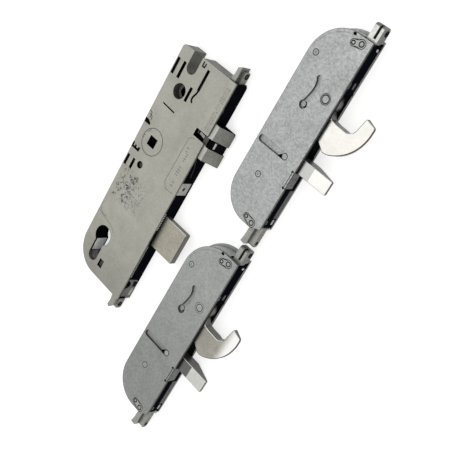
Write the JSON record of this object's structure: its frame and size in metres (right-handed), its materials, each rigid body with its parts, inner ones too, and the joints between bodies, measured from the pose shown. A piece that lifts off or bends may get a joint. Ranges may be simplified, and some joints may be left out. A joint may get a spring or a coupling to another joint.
{
  "type": "multipoint lock gearbox set",
  "caption": "Door lock gearbox with latch, deadbolt, spindle follower and profile cylinder hole, and slim cases that each hold a swinging hook and a square bolt.",
  "frame": {"origin": "on the spindle axis, at the underside of the cases, which lie flat on their backs", "axes": "+Y up the lock towards its upper end, +X the way the latch and bolts throw, +Z out of the front covers"},
  "size_m": [0.172, 0.3672, 0.0154],
  "materials": {
    "cast_zinc": "matt cast zinc alloy",
    "black_steel": "black coated steel",
    "black_nylon": "black nylon",
    "zinc_fitting": "satin cast zinc alloy",
    "galvanised_plate": "galvanised steel with a fine spangle",
    "nickel_bolt": "satin nickel plated steel",
    "spring_wire": "drawn spring wire",
    "bright_steel": "bright zinc plated steel"
  },
  "bodies": {
    "lock_cases": {"main_back_shell": "cast_zinc", "main_front_cover": "cast_zinc", "main_edge_strip": "black_steel", "main_edge_boss": "cast_zinc", "main_case_screws": "bright_steel", "main_stop_post": "bright_steel", "main_lever_pivot": "bright_steel", "main_latch_guide": "bright_steel", "main_latch_spring": "spring_wire", "main_follower_spring": "spring_wire", "upper_front_plate": "galvanised_plate", "upper_back_plate": "galvanised_plate", "upper_edge_strip": "black_steel", "upper_guide_block": "galvanised_plate", "upper_case_rivets": "bright_steel", "upper_end_keys": "bright_steel", "upper_hook_pivot": "bright_steel", "lower_front_plate": "galvanised_plate", "lower_back_plate": "galvanised_plate", "lower_edge_strip": "black_steel", "lower_guide_block": "galvanised_plate", "lower_case_rivets": "bright_steel", "lower_end_keys": "bright_steel", "lower_hook_pivot": "bright_steel"},
    "follower": {"main_follower": "zinc_fitting", "main_gear_sector": "bright_steel"},
    "main_rail": {"main_drive_rail": "black_steel", "main_rail_rivets": "bright_steel", "main_top_connector": "zinc_fitting", "main_bottom_connector": "zinc_fitting"},
    "latch": {"main_latch_bolt": "zinc_fitting", "main_latch_insert": "black_nylon"},
    "deadbolt": {"main_deadbolt": "nickel_bolt", "main_deadbolt_pin": "bright_steel"},
    "bolt_lever": {"main_bolt_lever": "bright_steel"},
    "upper_rail": {"upper_drive_plate": "galvanised_plate", "upper_drive_pin": "bright_steel", "upper_top_connector": "zinc_fitting", "upper_bottom_connector": "zinc_fitting", "upper_connector_rivets": "bright_steel"},
    "upper_hook": {"upper_hook": "nickel_bolt"},
    "upper_bolt": {"upper_square_bolt": "nickel_bolt", "upper_bolt_pin": "bright_steel"},
    "lower_rail": {"lower_drive_plate": "galvanised_plate", "lower_drive_pin": "bright_steel", "lower_top_connector": "zinc_fitting", "lower_bottom_connector": "zinc_fitting", "lower_connector_rivets": "bright_steel"},
    "lower_hook": {"lower_hook": "nickel_bolt"},
    "lower_bolt": {"lower_square_bolt": "nickel_bolt", "lower_bolt_pin": "bright_steel"}
  },
  "joints": [
    {"name": "follower_turn", "type": "hinge", "parent": "lock_cases", "child": "follower", "pos_m": [0, 0, 0.0075], "axis": [0, 0, 1], "range_deg": [0, 52.52], "deforming": ["main_follower_spring"]},
    {"name": "main_rail_slide", "type": "slide", "parent": "lock_cases", "child": "main_rail", "axis": [0, 1, 0], "range_m": [0, 0.022]},
    {"name": "latch_slide", "type": "slide", "parent": "lock_cases", "child": "latch", "axis": [1, 0, 0], "range_m": [-0.012, 0], "stiffness_N_per_m": 250, "springref_m": 0.008, "deforming": ["main_latch_spring"]},
    {"name": "deadbolt_slide", "type": "slide", "parent": "lock_cases", "child": "deadbolt", "axis": [1, 0, 0], "range_m": [-0.0225, 0]},
    {"name": "bolt_lever_turn", "type": "hinge", "parent": "lock_cases", "child": "bolt_lever", "pos_m": [0.014, -0.072, 0.0116], "axis": [0, 0, 1], "range_deg": [0, 60]},
    {"name": "upper_rail_slide", "type": "slide", "parent": "lock_cases", "child": "upper_rail", "axis": [0, 1, 0], "range_m": [0, 0.022]},
    {"name": "upper_hook_swing", "type": "hinge", "parent": "lock_cases", "child": "upper_hook", "pos_m": [0.1134, 0.1103, 0.0077], "axis": [0, 0, 1], "range_deg": [-84.5, 0]},
    {"name": "upper_bolt_slide", "type": "slide", "parent": "lock_cases", "child": "upper_bolt", "axis": [1, 0, 0], "range_m": [-0.0238, 0]},
    {"name": "lower_rail_slide", "type": "slide", "parent": "lock_cases", "child": "lower_rail", "axis": [0, 1, 0], "range_m": [0, 0.022]},
    {"name": "lower_hook_swing", "type": "hinge", "parent": "lock_cases", "child": "lower_hook", "pos_m": [0.1134, -0.0743, 0.0077], "axis": [0, 0, 1], "range_deg": [-84.5, 0]},
    {"name": "lower_bolt_slide", "type": "slide", "parent": "lock_cases", "child": "lower_bolt", "axis": [1, 0, 0], "range_m": [-0.0238, 0]}
  ],
  "couplings": [
    {"joint": "follower_turn", "follows": "main_rail_slide", "rad_per_m": 41.666},
    {"joint": "bolt_lever_turn", "follows": "deadbolt_slide", "rad_per_m": -46.54},
    {"joint": "upper_hook_swing", "follows": "upper_rail_slide", "rad_per_m": -67.036},
    {"joint": "upper_bolt_slide", "follows": "upper_rail_slide", "ratio": -1.0818},
    {"joint": "lower_hook_swing", "follows": "upper_rail_slide", "rad_per_m": -67.036},
    {"joint": "lower_bolt_slide", "follows": "upper_rail_slide", "ratio": -1.0818},
    {"joint": "lower_rail_slide", "follows": "upper_rail_slide", "ratio": 1}
  ]
}
